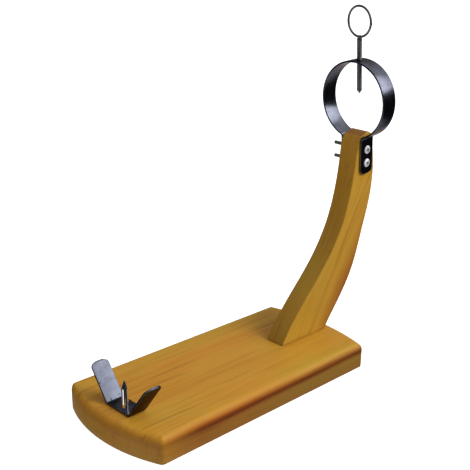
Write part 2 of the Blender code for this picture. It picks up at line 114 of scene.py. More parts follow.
# Surroundings: where the bright softbox, the pale backdrop and a small side card lie
SOFTBOX = Vector((0.62, -0.60, 0.50)).normalized()
BACKDROP = Vector((0.657, 0.644, -0.392)).normalized()
SIDE_CARD = Vector((-0.917, 0.09, -0.39)).normalized()

# The middle of the stand, which the lights are aimed at
LIGHTS_AIM = Vector((0.05, 0, 0.12))


def link(obj):
    bpy.context.scene.collection.objects.link(obj)
    return obj


def new_object(name, mesh, smooth_angle=40):
    obj = link(bpy.data.objects.new(name, mesh))
    mesh.shade_smooth()
    mesh.set_sharp_from_angle(angle=math.radians(smooth_angle))
    return obj


def from_rings(name, rings, close=False, smooth_angle=40):
    """A mesh skinned over rings of points.

    A ring of one point is a pole. close joins the last ring to the first; otherwise both ends are capped.
    """
    mesh = bpy.data.meshes.new(name)
    bm = bmesh.new()
    rows = [[bm.verts.new(point) for point in ring] for ring in rings]
    pairs = list(zip(rows, rows[1:]))
    if close:
        pairs.append((rows[-1], rows[0]))
    for low, high in pairs:
        count = max(len(low), len(high))
        for i in range(count):
            j = (i + 1) % count
            if len(low) == 1:
                bm.faces.new((low[0], high[j], high[i]))
            elif len(high) == 1:
                bm.faces.new((low[i], low[j], high[0]))
            else:
                bm.faces.new((low[i], low[j], high[j], high[i]))
    if not close:
        if len(rows[0]) > 2:
            bm.faces.new(list(reversed(rows[0])))
        if len(rows[-1]) > 2:
            bm.faces.new(rows[-1])
    bmesh.ops.recalc_face_normals(bm, faces=bm.faces)
    bm.to_mesh(mesh)
    bm.free()
    return new_object(name, mesh, smooth_angle)


def baked(obj):
    """Replaces the object's mesh with its evaluated one and drops its modifiers."""
    graph = bpy.context.evaluated_depsgraph_get()
    mesh = bpy.data.meshes.new_from_object(obj.evaluated_get(graph))
    obj.modifiers.clear()
    obj.data = mesh
    return obj


def carve(obj, cutters, smooth_angle=40):
    for cutter in cutters:
        boolean = obj.modifiers.new("Cut", "BOOLEAN")
        boolean.operation = "DIFFERENCE"
        boolean.solver = "EXACT"
        boolean.object = cutter
    baked(obj)
    for cutter in cutters:
        bpy.data.objects.remove(cutter)
    obj.data.shade_smooth()
    obj.data.set_sharp_from_angle(angle=math.radians(smooth_angle))
    return obj


def axes_to(origin, z_axis, x_hint=X_AXIS):
    z = z_axis.normalized()
    x = (x_hint - z * x_hint.dot(z)).normalized()
    matrix = Matrix((x, z.cross(x), z)).transposed().to_4x4()
    matrix.translation = origin
    return matrix


def circle(radius, height, sides, wobble=None):
    """A ring of points about Z. wobble(angle) is added to the radius."""
    if radius <= 0:
        return [Vector((0, 0, height))]
    points = []
    for i in range(sides):
        angle = 2 * math.pi * i / sides
        r = radius + (wobble(angle) if wobble else 0)
        points.append(Vector((r * math.cos(angle), r * math.sin(angle), height)))
    return points


def arc(centre, radius, start, end, steps):
    for i in range(steps + 1):
        angle = start + (end - start) * i / steps
        yield centre[0] + radius * math.cos(angle), centre[1] + radius * math.sin(angle)


def lathe(name, stations, matrix, sides=48, pitch=None, smooth_angle=40):
    """A turned solid. Stations are (radius, height) or (radius, height, thread depth), from end to end."""
    rings = []
    for radius, height, *thread in stations:
        depth = thread[0] if thread else 0

        def groove(angle, height=height, depth=depth):
            phase = (height / pitch - angle / (2 * math.pi)) % 1.0
            return -depth * abs(2 * phase - 1)

        rings.append(circle(radius, height, sides, groove if depth else None))
    obj = from_rings(name, rings, smooth_angle=smooth_angle)
    obj.data.transform(matrix)
    return obj


def threaded(radius, start, end, pitch, depth, step=7):
    """Stations of a threaded length, with the thread running out softly at both ends."""
    count = max(2, round(abs(end - start) / pitch * step))
    for i in range(count + 1):
        t = i / count
        fade = min(1.0, t * count / step, (1 - t) * count / step)
        yield radius, start + (end - start) * t, depth * fade


def drill(radius, start, end):
    """A round cutter from one point to another."""
    direction = end - start
    hint = X_AXIS if abs(direction.normalized().x) < 0.9 else Y_AXIS
    stations = [(radius, 0), (radius, direction.length)]
    return lathe("drill", stations, axes_to(start, direction, hint))


# ---------------------------------------------------------------- materials


class Nodes:
    """A short way to write a material's node tree."""

    def __init__(self, name):
        self.material = bpy.data.materials.new(name)
        self.material.use_nodes = True
        self.tree = self.material.node_tree
        self.shader = self.tree.nodes["Principled BSDF"]
        self.place = self.tree.nodes.new("ShaderNodeTexCoord").outputs["Object"]

    def add(self, kind, inputs=None, **settings):
        node = self.tree.nodes.new(kind)
        for key, value in settings.items():
            setattr(node, key, value)
        for key, value in (inputs or {}).items():
            if isinstance(value, bpy.types.NodeSocket):
                self.tree.links.new(value, node.inputs[key])
            else:
                node.inputs[key].default_value = value
        return node

    def stretched(self, scale, rotation=(0, 0, 0), location=(0, 0, 0)):
        """The object's own coordinates in a frame that stands at the rotation, scaled along its axes."""
        size = tuple(1 / value for value in scale)
        node = self.add("ShaderNodeMapping", {"Vector": self.place, "Scale": size, "Rotation": rotation,
                                              "Location": location}, vector_type="TEXTURE")
        return node.outputs["Vector"]

    def noise(self, vector, scale=1.0, detail=3.0, roughness=0.5, distortion=0.0):
        node = self.add("ShaderNodeTexNoise", {"Vector": vector, "Scale": scale, "Detail": detail,
                                               "Roughness": roughness, "Distortion": distortion})
        return node.outputs["Fac"]

    def ramp(self, value, stops):
        node = self.add("ShaderNodeValToRGB", {"Fac": value})
        elements = node.color_ramp.elements
        while len(elements) < len(stops):
            elements.new(0.5)
        for element, (position, colour) in zip(elements, stops):
            element.position = position
            element.color = (*colour, 1.0)
        return node.outputs["Color"]

    def grey(self, value, low, high, out_low=0.0, out_high=1.0):
        node = self.add("ShaderNodeMapRange", {"Value": value, "From Min": low, "From Max": high,
                                               "To Min": out_low, "To Max": out_high})
        return node.outputs["Result"]

    def math(self, operation, a, b=0.0):
        node = self.add("ShaderNodeMath", {0: a, 1: b}, operation=operation)
        return node.outputs[0]

    def mix(self, factor, a, b, blend="MIX"):
        node = self.tree.nodes.new("ShaderNodeMix")
        node.data_type = "RGBA"
        node.blend_type = blend
        for socket, value in ((node.inputs[0], factor), (node.inputs[6], a), (node.inputs[7], b)):
            if isinstance(value, bpy.types.NodeSocket):
                self.tree.links.new(value, socket)
            elif isinstance(value, tuple):
                socket.default_value = (*value, 1.0)
            else:
                socket.default_value = value
        return node.outputs[2]

    def bump(self, height, strength, distance):
        node = self.add("ShaderNodeBump", {"Height": height, "Strength": strength, "Distance": distance})
        self.tree.links.new(node.outputs["Normal"], self.shader.inputs["Normal"])

    def drive(self, **sockets):
        for key, value in sockets.items():
            socket = self.shader.inputs[key.replace("_", " ")]
            if isinstance(value, bpy.types.NodeSocket):
                self.tree.links.new(value, socket)
            else:
                socket.default_value = value
        return self.material


def srgb(red, green, blue):
    def linear(value):
        value /= 255
        return value / 12.92 if value <= 0.04045 else ((value + 0.055) / 1.055) ** 2.4
    return linear(red), linear(green), linear(blue)

# Varnished pine: its base colours, the streaks over them, the painted shade near the upright's back edge and
# on its front faces, and the darker tone of its end grain
WOOD_ORANGE = srgb(182, 124, 38)
WOOD_GOLD = srgb(186, 137, 44)
WOOD_OLIVE = srgb(176, 141, 46)
WOOD_WARM = srgb(184, 117, 32)
WOOD_STREAK = srgb(156, 96, 28)
WOOD_LINE = srgb(112, 66, 20)
WOOD_BACK_SHADE = srgb(138, 66, 16)
WOOD_FRONT_SHADE = srgb(84, 58, 14)
WOOD_END = srgb(112, 64, 18)
# Painted shade over the board's height, from its underside to its top: darker on the lower sides and in a
# band where the round-over meets them, near white on top; and how much of it the front end takes, less there
# to stand in for light from the left
BOARD_PAINTED_SHADE = [
    (0.00, srgb(204, 186, 198)), (0.52, srgb(204, 186, 196)), (0.62, srgb(174, 138, 122)),
    (0.69, srgb(148, 92, 62)), (0.78, srgb(190, 138, 92)), (0.89, srgb(228, 196, 148)),
    (0.97, srgb(248, 238, 220)), (1.00, srgb(243, 243, 226)),
]
FRONT_END_LESS_SHADE = (-0.188, -0.120, 0.35, 1.0)
UPRIGHT_GRAIN = math.radians(-62)
UPRIGHT_BACK = (0.137, 0.514, 0.030)
DARK_GRAZING = (0.45, 0.38, 0.35)
GREY_GRAZING = (0.4, 0.4, 0.4)


def wood_material(name, rotation, edge_height=None, back_edge=None, seed=0.0):
    """Varnished pine with its grain along X, once turned.

    edge_height paints shade over the board's height, on its round-over and sides. back_edge = (x at the foot,
    x per height, reach) paints shade near the upright's back edge and on its front faces, and darkens its end
    grain.
    """
    n = Nodes(name)
    shift = seed * 0.1
    broad = n.noise(n.stretched((2.2, 8, 8), rotation, (shift, 0, 0)), 1.0, 2.0, 0.5, 0.3)
    wander = n.noise(n.stretched((4.0, 26, 26), rotation, (shift, 0.2, 0.1)), 1.0, 3.0, 0.55, 0.6)
    rings = n.noise(n.stretched((3.2, 95, 60), rotation, (shift, 0.5, 0.3)), 1.0, 4.0, 0.6, 0.35)
    narrow = n.noise(n.stretched((6, 210, 150), rotation, (shift, 0.1, 0.7)), 1.0, 2.0, 0.5, 0.2)
    fibre = n.noise(n.stretched((30, 900, 900), rotation, (shift, 0, 0)), 1.0, 3.0, 0.6)
    body = n.ramp(broad, [(0.34, WOOD_ORANGE), (0.5, WOOD_GOLD), (0.64, WOOD_OLIVE)])
    colour = n.mix(n.grey(wander, 0.45, 0.75, 0.0, 0.45), body, WOOD_WARM)
    colour = n.mix(n.grey(rings, 0.54, 0.70, 0.0, 0.42), colour, WOOD_STREAK)
    colour = n.mix(n.grey(narrow, 0.60, 0.74, 0.0, 0.42), colour, WOOD_LINE)
    fine = n.grey(fibre, 0.35, 0.75, 0.93, 1.05)
    shade = n.add("ShaderNodeCombineXYZ", {"X": fine, "Y": fine, "Z": fine}).outputs[0]
    colour = n.mix(1.0, colour, shade, "MULTIPLY")
    split = n.add("ShaderNodeSeparateXYZ", {"Vector": n.place}).outputs
    # Painted shade: the board darkened by its height, with less of it towards the front end
    if edge_height:
        ripple = n.math("MULTIPLY", n.math("SUBTRACT", wander, 0.5), 0.008)
        level = n.math("DIVIDE", n.math("ADD", split["Z"], ripple), edge_height)
        board_shade = n.mix(1.0, colour, n.ramp(level, BOARD_PAINTED_SHADE), "MULTIPLY")
        colour = n.mix(n.grey(split["X"], *FRONT_END_LESS_SHADE), colour, board_shade)
    if back_edge:
        foot_x, slope, reach = back_edge
        edge = n.math("ADD", n.math("MULTIPLY", split["Z"], slope), foot_x)
        behind = n.math("SUBTRACT", split["X"], edge)
        ripple = n.math("MULTIPLY", n.math("SUBTRACT", wander, 0.5), 0.012)
        # Painted shade: darker behind a slanted line near the upright's back edge, most of it low down
        low = n.grey(split["Z"], 0.10, 0.24, 1.0, 0.35)
        back_shade = n.math("MULTIPLY", n.grey(n.math("ADD", behind, ripple), 0.0, reach), low)
        colour = n.mix(n.math("MULTIPLY", back_shade, 0.8), colour, WOOD_BACK_SHADE)
        # Painted shade on the faces turned to the front (-X), more of it low down; the faces turned up take
        # the darker end grain
        normal = n.add("ShaderNodeNewGeometry").outputs["Normal"]
        facing = n.add("ShaderNodeSeparateXYZ", {"Vector": normal}).outputs
        front = n.grey(facing["X"], -0.45, -0.6)
        front_shade = n.math("MULTIPLY", front, n.grey(split["Z"], 0.05, 0.30, 0.42, 0.05))
        colour = n.mix(front_shade, colour, WOOD_FRONT_SHADE)
        colour = n.mix(n.grey(facing["Z"], 0.8, 0.95, 0.0, 0.8), colour, WOOD_END)
    roughness = n.grey(rings, 0.3, 0.8, 0.5, 0.6)
    grain = n.math("ADD", n.math("MULTIPLY", rings, 0.5), n.math("MULTIPLY", fibre, 0.5))
    n.bump(grain, 0.25, 0.6 * MM)
    return n.drive(Base_Color=colour, Roughness=roughness, Specular_IOR_Level=0.25)


def metal_material(name, dark, light, roughness, brush, fleck=0.0, bump=0.05, grazing=(1.0, 1.0, 1.0),
                   metallic=1.0):
    """Bare or blackened steel: cloudy colour, drawn lines along the bar, flecks and a grazing colour."""
    n = Nodes(name)
    cloud = n.noise(n.place, 60.0, 3.0, 0.55)
    lines = n.noise(n.stretched(brush), 1.0, 3.0, 0.6)
    colour = n.mix(n.grey(cloud, 0.35, 0.68), dark, light)
    if fleck:
        spots = n.noise(n.place, 300.0, 2.0, 0.5)
        colour = n.mix(n.grey(spots, 0.65, 0.70, 0.0, fleck), colour, tuple(v * 0.2 for v in dark))
    rough = n.math("ADD", n.grey(lines, 0.3, 0.7, roughness * 0.75, roughness * 1.15),
                   n.grey(cloud, 0.3, 0.7, -0.03, 0.05))
    n.bump(lines, bump, 0.2 * MM)
    return n.drive(Base_Color=colour, Roughness=rough, Metallic=metallic, Specular_Tint=(*grazing, 1.0))


pine_board = wood_material("pine_board", (0, 0, 0), edge_height=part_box("base_board")[1].z)
pine_arm = wood_material("pine_arm", (0, UPRIGHT_GRAIN, 0), back_edge=UPRIGHT_BACK, seed=4.0)
beech = wood_material("beech_dowel", (0, -math.pi / 2, 0), seed=9.0)
black_strap = metal_material(
    "blackened_strap", (0.11, 0.115, 0.145), (0.16, 0.165, 0.205), roughness=0.2, brush=(700, 60, 60),
    fleck=0.5, grazing=DARK_GRAZING)
black_cradle = metal_material(
    "blackened_cradle", (0.075, 0.08, 0.10), (0.12, 0.125, 0.155), roughness=0.2, brush=(60, 500, 500),
    fleck=0.8, grazing=DARK_GRAZING)
dark_rod = metal_material(
    "dark_rod", (0.14, 0.135, 0.135), (0.2, 0.195, 0.195), roughness=0.3, brush=(900, 900, 60),
    fleck=0.3, grazing=GREY_GRAZING)
chrome = metal_material(
    "chrome_spike", srgb(226, 224, 226), srgb(238, 236, 238), roughness=0.08, brush=(900, 900, 40), bump=0.02)
zinc = metal_material(
    "zinc_plate", srgb(206, 206, 210), srgb(228, 228, 232), roughness=0.45, brush=(300, 300, 300),
    fleck=0.1, metallic=0.25)
zinc_thread = metal_material(
    "zinc_thread", srgb(104, 112, 106), srgb(132, 138, 130), roughness=0.45, brush=(300, 300, 300),
    fleck=0.3, metallic=0.3)


def finish_piece(obj, material, body, slot, *nodes):
    """Gives a piece its material and its body, and hides the CAD nodes that it stands for; its slot is not
    used.
    """
    obj.data.materials.clear()
    obj.data.materials.append(material)
    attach(obj, body)
    if nodes:
        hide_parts(*nodes)
    return obj


# ---------------------------------------------------------------- board

board_low, board_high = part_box("base_board")
arm_low, arm_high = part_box("upright_arm")
board_top = board_high.z
board_width = board_high.y - board_low.y
arm_half = (arm_high.y - arm_low.y) / 2
arm_middle_y = (arm_high.y + arm_low.y) / 2


def middle(node):
    low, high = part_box(node)
    return (low + high) / 2


def drill_up(radius, node, bottom, top):
    """An upright cutter on a piece's axis, from one height to another."""
    place = middle(node)
    return drill(radius, Vector((place.x, place.y, bottom)), Vector((place.x, place.y, top)))


def collar_screw_holes():
    """Cutters across the upright and both legs of the collar."""
    cutters = []
    for node in COLLAR_SCREWS:
        place = middle(node)
        place.y = arm_middle_y
        reach = Y_AXIS * 30 * MM
        cutters.append(drill(COLLAR_SCREW_HOLE, place - reach, place + reach))
    return cutters


def end_arc(end_x, inset, bow, steps=72):
    """One bowed end facing +X with its two rounded corners, from its -Y side to its +Y side."""
    radius = (board_width ** 2 / 4 + bow * bow) / (2 * bow)
    centre_x = end_x - radius
    corner = max(BOARD_CORNER - inset, 0.5 * MM)
    corner_y = board_width / 2 - inset - corner
    reach = radius - inset - corner
    corner_x = centre_x + math.sqrt(reach * reach - corner_y * corner_y)
    sweep = math.atan2(corner_y, corner_x - centre_x)
    yield from arc((corner_x, -corner_y), corner, -math.pi / 2, -sweep, 10)
    yield from list(arc((centre_x, 0.0), radius - inset, -sweep, sweep, steps))[1:-1]
    yield from arc((corner_x, corner_y), corner, sweep, math.pi / 2, 10)


def board_ring(inset, height):
    rear = list(end_arc(board_high.x, inset, BOARD_REAR_BOW))
    front = [(-x, -y) for x, y in end_arc(-board_low.x, inset, BOARD_FRONT_BOW)]
    return [Vector((x, y, height)) for x, y in rear + front]


def rounded_ring(inset, height):
    """A ring of the round-over, which was sanded less at the front's +Y corner."""
    corner = Vector((board_low.x + BOARD_FRONT_BOW, board_high.y, height))
    points = []
    for full, point in zip(board_ring(0, height), board_ring(inset, height)):
        t = min(1.0, (full - corner).length / LESS_SANDED_REACH)
        points.append(full.lerp(point, LEAST_SANDED + (1 - LEAST_SANDED) * t * t * (3 - 2 * t)))
    return points


def make_board():
    rings = [board_ring(BOARD_FOOT_EDGE * (1 - math.sin(a)), BOARD_FOOT_EDGE * (1 - math.cos(a)))
             for a in (0, math.pi / 6, math.pi / 3, math.pi / 2)]
    rings += [board_ring(0, z) for z in (0.3 * board_top, 0.6 * board_top)]
    steps = 14
    for i in range(steps + 1):
        angle = math.pi / 2 * i / steps
        rings.append(rounded_ring(BOARD_ROUND * (1 - math.cos(angle)),
                                  board_top - BOARD_ROUND * (1 - math.sin(angle))))
    board = from_rings("board_body", rings, smooth_angle=35)
    above = board_top + PAST
    cutters = []
    for node in FOOT_SCREWS:
        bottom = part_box(node)[0].z
        cutters.append(drill_up(SCREW_HEAD_HOLE, node, -PAST, bottom + SCREW_HEAD_SEAT))
        cutters.append(drill_up(SCREW_SHANK_HOLE, node, bottom, above))
    for node in FOOT_DOWELS:
        low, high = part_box(node)
        cutters.append(drill_up((high.x - low.x) / 2 + GAP, node, low.z, above))
    washer_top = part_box("spike_washer")[1].z
    cutters.append(drill_up(SPIKE_POCKET, "spike_washer", -PAST, washer_top + GAP))
    cutters.append(drill_up(SPIKE_HOLE, "spike_washer", washer_top, above))
    carve(board, cutters, 35)
    finish_piece(board, pine_board, "stand", "varnished_pine", "base_board")


# ---------------------------------------------------------------- upright


def arm_outline():
    """The side view's Bezier points, as (point, handle before, handle after), in mm from the toe."""
    lean, height, foot = 142.0, 269.4, 88.0
    crest = lean + 25.5
    back = lean + 31.7
    toe = ((0, 0), (0.2 * foot, 0), (0.08 * foot, 0.063 * height))
    front = [
        ((0.314 * lean, 0.215 * height), (0.226 * lean, 0.166 * height), (0.560 * lean, 0.349 * height)),
        ((0.884 * lean, 0.696 * height), (0.785 * lean, 0.471 * height), (0.925 * lean, 0.789 * height)),
        ((0.949 * lean, 0.927 * height), (0.937 * lean, 0.852 * height), (0.956 * lean, 0.960 * height)),
    ]
    top = [
        ((lean, height), (0.971 * lean, 0.985 * height), (lean + 5, height + 1.3)),
        ((crest - 11.5, height + 4), (crest - 16.5, height + 2.8), (crest - 6.5, height + 5)),
        ((crest, height - 9), (crest - 1, height), (crest + 2, height - 20)),
    ]
    rear = [
        ((back, 0.798 * height), (back, 0.862 * height), (back, 0.704 * height)),
        ((lean + 18.5, 0.528 * height), (lean + 27, 0.630 * height), (lean + 8, 0.398 * height)),
        ((foot + 37.5, 0.194 * height), (foot + 59, 0.314 * height), (foot + 20, 0.097 * height)),
    ]
    heel = ((foot, 0), (foot + 5, 0.04 * height), (0.8 * foot, 0))
    return [toe, *front, *top, *rear, heel]


def make_arm():
    curve = bpy.data.curves.new("arm_outline", "CURVE")
    curve.dimensions = "2D"
    curve.fill_mode = "BOTH"
    curve.extrude = (arm_high.y - arm_low.y) / 2
    curve.resolution_u = 24
    spline = curve.splines.new("BEZIER")
    outline = arm_outline()
    spline.bezier_points.add(len(outline) - 1)
    spline.use_cyclic_u = True
    for target, triple in zip(spline.bezier_points, outline):
        target.handle_left_type = target.handle_right_type = "FREE"
        target.co, target.handle_left, target.handle_right = [(x * MM, z * MM, 0.0) for x, z in triple]
    guide = link(bpy.data.objects.new("arm_outline", curve))
    graph = bpy.context.evaluated_depsgraph_get()
    mesh = bpy.data.meshes.new_from_object(guide.evaluated_get(graph))
    bpy.data.objects.remove(guide)
    bm = bmesh.new()
    bm.from_mesh(mesh)
    bmesh.ops.remove_doubles(bm, verts=bm.verts, dist=0.00001)
    bmesh.ops.dissolve_limit(bm, angle_limit=0.0005, verts=bm.verts, edges=bm.edges)
    bmesh.ops.recalc_face_normals(bm, faces=bm.faces)
    bmesh.ops.rotate(bm, verts=bm.verts, matrix=Matrix.Rotation(math.pi / 2, 3, "X"))
    bm.to_mesh(mesh)
    bm.free()
    arm = new_object("upright", mesh, 40)
    arm_middle = (arm_low + arm_high) / 2
    xs = [v.co.x for v in mesh.vertices]
    mesh.transform(Matrix.Translation((arm_low.x - min(xs), arm_middle.y, arm_low.z)))
    edge = arm.modifiers.new("Eased edges", "BEVEL")
    edge.width = ARM_EDGE
    edge.segments = 5
    edge.limit_method = "ANGLE"
    edge.angle_limit = math.radians(60)
    baked(arm)
    cutters = collar_screw_holes()
    for node in FOOT_SCREWS + FOOT_DOWELS:
        low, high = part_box(node)
        radius = FOOT_SCREW_SHANK if node in FOOT_SCREWS else (high.x - low.x) / 2
        cutters.append(drill_up(radius + GAP, node, board_top - 5 * MM, high.z + GAP))
    carve(arm, cutters, 40)
    finish_piece(arm, pine_arm, "stand", "varnished_pine", "upright_arm")


# ---------------------------------------------------------------- bent bars


def bar(name, stations, along, smooth_angle=50):
    """A bent flat bar with eased edges.

    Stations are (middle point, half width), and along is the direction of the width.
    """
    rings = []
    count = len(stations)
    corner_steps = 4
    for i, (centre, half) in enumerate(stations):
        before = stations[max(i - 1, 0)][0]
        after = stations[min(i + 1, count - 1)][0]
        tangent = (after - before).normalized()
        normal = along.cross(tangent).normalized()
        ring = []
        for across, out in ((1, 1), (-1, 1), (-1, -1), (1, -1)):
            corner = along * across * (half - STRAP_EDGE) + normal * out * (STRAP_THICKNESS / 2 - STRAP_EDGE)
            start = {(1, 1): 0, (-1, 1): 90, (-1, -1): 180, (1, -1): 270}[(across, out)]
            for k in range(corner_steps + 1):
                angle = math.radians(start + 90 * k / corner_steps)
                edge = along * math.cos(angle) + normal * math.sin(angle)
                ring.append(centre + corner + edge * STRAP_EDGE)
        rings.append(ring)
    return from_rings(name, rings, smooth_angle=smooth_angle)


def rounded_end(tip, inward, half_width, flat, radius, steps=14):
    for i in range(steps + 1):
        angle = math.pi / 2 * i / steps
        half = flat / 2 + (half_width - flat / 2) * math.sin(angle)
        yield tip + inward * radius * (1 - math.cos(angle)), half


RING_AXIS = Vector((math.cos(RING_TILT), 0, math.sin(RING_TILT)))
RING_UP = Vector((-math.sin(RING_TILT), 0, math.cos(RING_TILT)))
collar_low, collar_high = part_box("collar_strap")
ring_radius = (collar_high.y - collar_low.y) / 2
ring_centre = Vector((
    collar_low.x + ring_radius * math.sin(RING_TILT) + STRAP_HALF * math.cos(RING_TILT),
    (collar_low.y + collar_high.y) / 2,
    collar_high.z - ring_radius * math.cos(RING_TILT) - STRAP_HALF * math.sin(RING_TILT),
))
leg_mid_y = arm_half + GAP + STRAP_THICKNESS / 2


def on_collar(y, up):
    return ring_centre + Y_AXIS * y + RING_UP * up


def pin_direction():
    return (RING_UP * math.cos(PIN_LEAN) + Y_AXIS * math.sin(PIN_LEAN)).normalized()


def pin_at(height):
    return on_collar(0, ring_radius) + pin_direction() * height


def make_collar():
    mid_radius = ring_radius - STRAP_THICKNESS / 2
    bend_y = leg_mid_y + COLLAR_BEND
    reach = mid_radius + COLLAR_BEND
    bend_up = -math.sqrt(reach * reach - bend_y * bend_y)
    sweep = math.atan2(-bend_up, bend_y)
    path = list(arc((bend_y, bend_up), COLLAR_BEND, math.pi, math.pi - sweep, 12))
    path += list(arc((0, 0), mid_radius, -sweep, math.pi / 2, 96))[1:]
    near = [on_collar(y, up) for y, up in path]
    far = [on_collar(-y, up) for y, up in reversed(path[:-1])]
    stations = []
    for side, points in ((1, near), (-1, far)):
        tip = on_collar(side * leg_mid_y, -0.1)
        end = list(rounded_end(tip, RING_UP, STRAP_HALF, 8 * MM, 7 * MM))
        middle_points = [(point, STRAP_HALF) for point in points]
        stations += end + middle_points if side > 0 else middle_points + end[::-1]
    collar = bar("collar", stations, RING_AXIS)
    carve(collar, [drill(PIN_HOLE, pin_at(-PAST), pin_at(PAST)), *collar_screw_holes()], 50)
    finish_piece(collar, black_strap, "stand", "blackened_steel", "collar_strap")


def make_cradle():
    low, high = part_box("cradle_bracket")
    centre = Vector(((low.x + high.x) / 2, CRADLE_Y, low.z + STRAP_THICKNESS / 2))
    half = (high.x - low.x) / 2
    stations = []
    for side, leg in ((-1, CRADLE_NEAR_LEG), (1, CRADLE_FAR_LEG)):
        outwards = Vector((0, side * math.cos(CRADLE_ANGLE), math.sin(CRADLE_ANGLE)))
        corner = side * CRADLE_FLOOR_HALF
        tip = centre + Y_AXIS * corner + outwards * leg
        points = list(rounded_end(tip, -outwards, half, 5 * MM, 7 * MM))
        centre_y = corner - side * CRADLE_BEND * math.tan(CRADLE_ANGLE / 2)
        for y, z in arc((0, CRADLE_BEND), CRADLE_BEND, CRADLE_ANGLE - math.pi / 2, -math.pi / 2, 10):
            points.append((centre + Y_AXIS * (centre_y + side * y) + Z_AXIS * z, half))
        stations += points if side < 0 else points[::-1]
    cradle = bar("cradle", stations, X_AXIS)
    carve(cradle, [drill_up(CRADLE_HOLE, "spike_washer", board_top, high.z)], 50)
    finish_piece(cradle, black_cradle, "stand", "blackened_steel", "cradle_bracket")


# ---------------------------------------------------------------- screws, nuts and pins


def cross_recess(width, depth, slot_width, matrix):
    """Two tapered bars across each other, as a cross-head driver leaves."""
    cutters = []
    for turn in (0, math.pi / 2):
        rings = []
        for z, share in ((-depth, 0.6), (0.001, 1.12)):
            w, s = width / 2 * share, slot_width / 2 * (0.55 + 0.45 * share)
            rings.append([Vector((x, y, z)) for x, y in ((-w, -s), (w, -s), (w, s), (-w, s))])
        cutter = from_rings("recess", rings)
        cutter.data.transform(matrix @ Matrix.Rotation(turn, 4, "Z"))
        cutters.append(cutter)
    return cutters


def make_collar_screws():
    for node, turn in zip(COLLAR_SCREWS, (0.5, 0.9)):
        low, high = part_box(node)
        place = middle(node)
        head_radius = (high.z - low.z) / 2
        head_height, rim = 2 * MM, 0.5 * MM
        seat_y = low.y + head_height
        length = high.y - seat_y
        dome = head_height - rim
        sphere = (head_radius ** 2 + dome ** 2) / (2 * dome)
        half_angle = math.asin(head_radius / sphere)
        stations = []
        for i in range(15):
            angle = half_angle * i / 14
            stations.append((sphere * math.sin(angle), sphere * math.cos(angle) - sphere + head_height))
        shank = 2.5 * MM
        stations += [(head_radius, rim * 0.5), (head_radius - 0.15 * MM, 0), (shank, 0), (shank, -20 * MM)]
        stations += list(threaded(shank, -20.2 * MM, 0.7 * MM - length, M5_PITCH, 0.42 * MM))
        stations += [(shank - 0.7 * MM, -length), (0, -length)]
        matrix = axes_to(Vector((place.x, seat_y, place.z)), -Y_AXIS) @ Matrix.Rotation(turn, 4, "Z")
        screw = lathe(node.replace("collar_screw", "truss_screw"), stations, matrix, 40, M5_PITCH)
        top = matrix @ Matrix.Translation((0, 0, head_height))
        carve(screw, cross_recess(7.0 * MM, 1.4 * MM, 1.7 * MM, top))
        finish_piece(screw, zinc, "stand", "zinc_plated_steel", node)
        # Painted shade: the faces deep in the cross recess take the dark rod steel; the shank past the seat
        # takes the thread colour
        screw.data.materials.append(zinc_thread)
        screw.data.materials.append(dark_rod)
        for face in screw.data.polygons:
            reach = (face.center - top.translation).cross(Y_AXIS).length
            depth = face.center.y - top.translation.y
            inside = reach < 4.8 * MM and face.center.y < seat_y
            recess_shade = inside and depth > sphere - math.sqrt(sphere ** 2 - reach ** 2) + 0.15 * MM
            face.material_index = 2 if recess_shade else int(face.center.y > seat_y)


def hex_radius(angle, flat):
    return flat / math.cos((angle + math.pi / 6) % (math.pi / 3) - math.pi / 6)


def nut(name, matrix, across_flats, thickness, hole, pitch, node):
    """A hexagon nut with both faces chamfered at 30 degrees and a threaded bore."""
    flat = across_flats / 2
    face = flat * 0.96
    deep = (flat / math.cos(math.pi / 6) - face) / math.tan(math.radians(60))
    sides = 72

    def outer(z):
        ring = []
        limit = face + min(z, thickness - z) * math.tan(math.radians(60))
        for i in range(sides):
            angle = 2 * math.pi * i / sides
            r = min(hex_radius(angle, flat), limit)
            ring.append(Vector((r * math.cos(angle), r * math.sin(angle), z)))
        return ring

    steps = 6
    rings = [outer(deep * i / steps) for i in range(steps + 1)]
    rings += [outer(thickness - deep * (steps - i) / steps) for i in range(steps + 1)]
    entry = 0.35 * MM
    rings.append(circle(hole + entry, thickness, sides))
    count = max(6, round((thickness - 2 * entry) / pitch * 6))
    for i in range(count + 1):
        z = thickness - entry - (thickness - 2 * entry) * i / count
        fade = min(1.0, i / 4, (count - i) / 4)

        def crest(angle, z=z, fade=fade):
            return -0.12 * MM * fade * abs(2 * ((z / pitch - angle / (2 * math.pi)) % 1.0) - 1)

        rings.append(circle(hole, z, sides, crest))
    rings.append(circle(hole + entry, 0, sides))
    obj = from_rings(name, rings, close=True, smooth_angle=30)
    obj.data.transform(matrix)
    finish_piece(obj, zinc, "stand", "zinc_plated_steel", node)


def make_nuts():
    for node in ("collar_nut_upper", "collar_nut_lower"):
        low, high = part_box(node)
        place = middle(node)
        matrix = axes_to(Vector((place.x, low.y, place.z)), Y_AXIS, RING_AXIS)
        nut(node.replace("collar_nut", "hex_nut"), matrix, 8 * MM, high.y - low.y, 2.8 * MM, M5_PITCH, node)
    low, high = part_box("spike_nut")
    place = middle("spike_nut")
    matrix = axes_to(Vector((place.x, place.y, low.z)), Z_AXIS)
    nut("spike_hex_nut", matrix, 13 * MM, high.z - low.z, SPIKE_HOLE, M8_PITCH, "spike_nut")


def make_washer():
    low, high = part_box("spike_washer")
    place = middle("spike_washer")
    outer, inner, thick = (high.x - low.x) / 2, SPIKE_HOLE, high.z - low.z
    ease = 0.2 * MM
    profile = [(inner, ease), (inner + ease, 0), (outer - ease, 0), (outer, ease), (outer, thick - ease),
               (outer - ease, thick), (inner + ease, thick), (inner, thick - ease)]
    rings = [circle(radius, height, 64) for radius, height in profile]
    washer = from_rings("spike_flat_washer", rings, close=True, smooth_angle=30)
    washer.data.transform(Matrix.Translation((place.x, place.y, low.z)))
    finish_piece(washer, zinc, "stand", "zinc_plated_steel", "spike_washer")


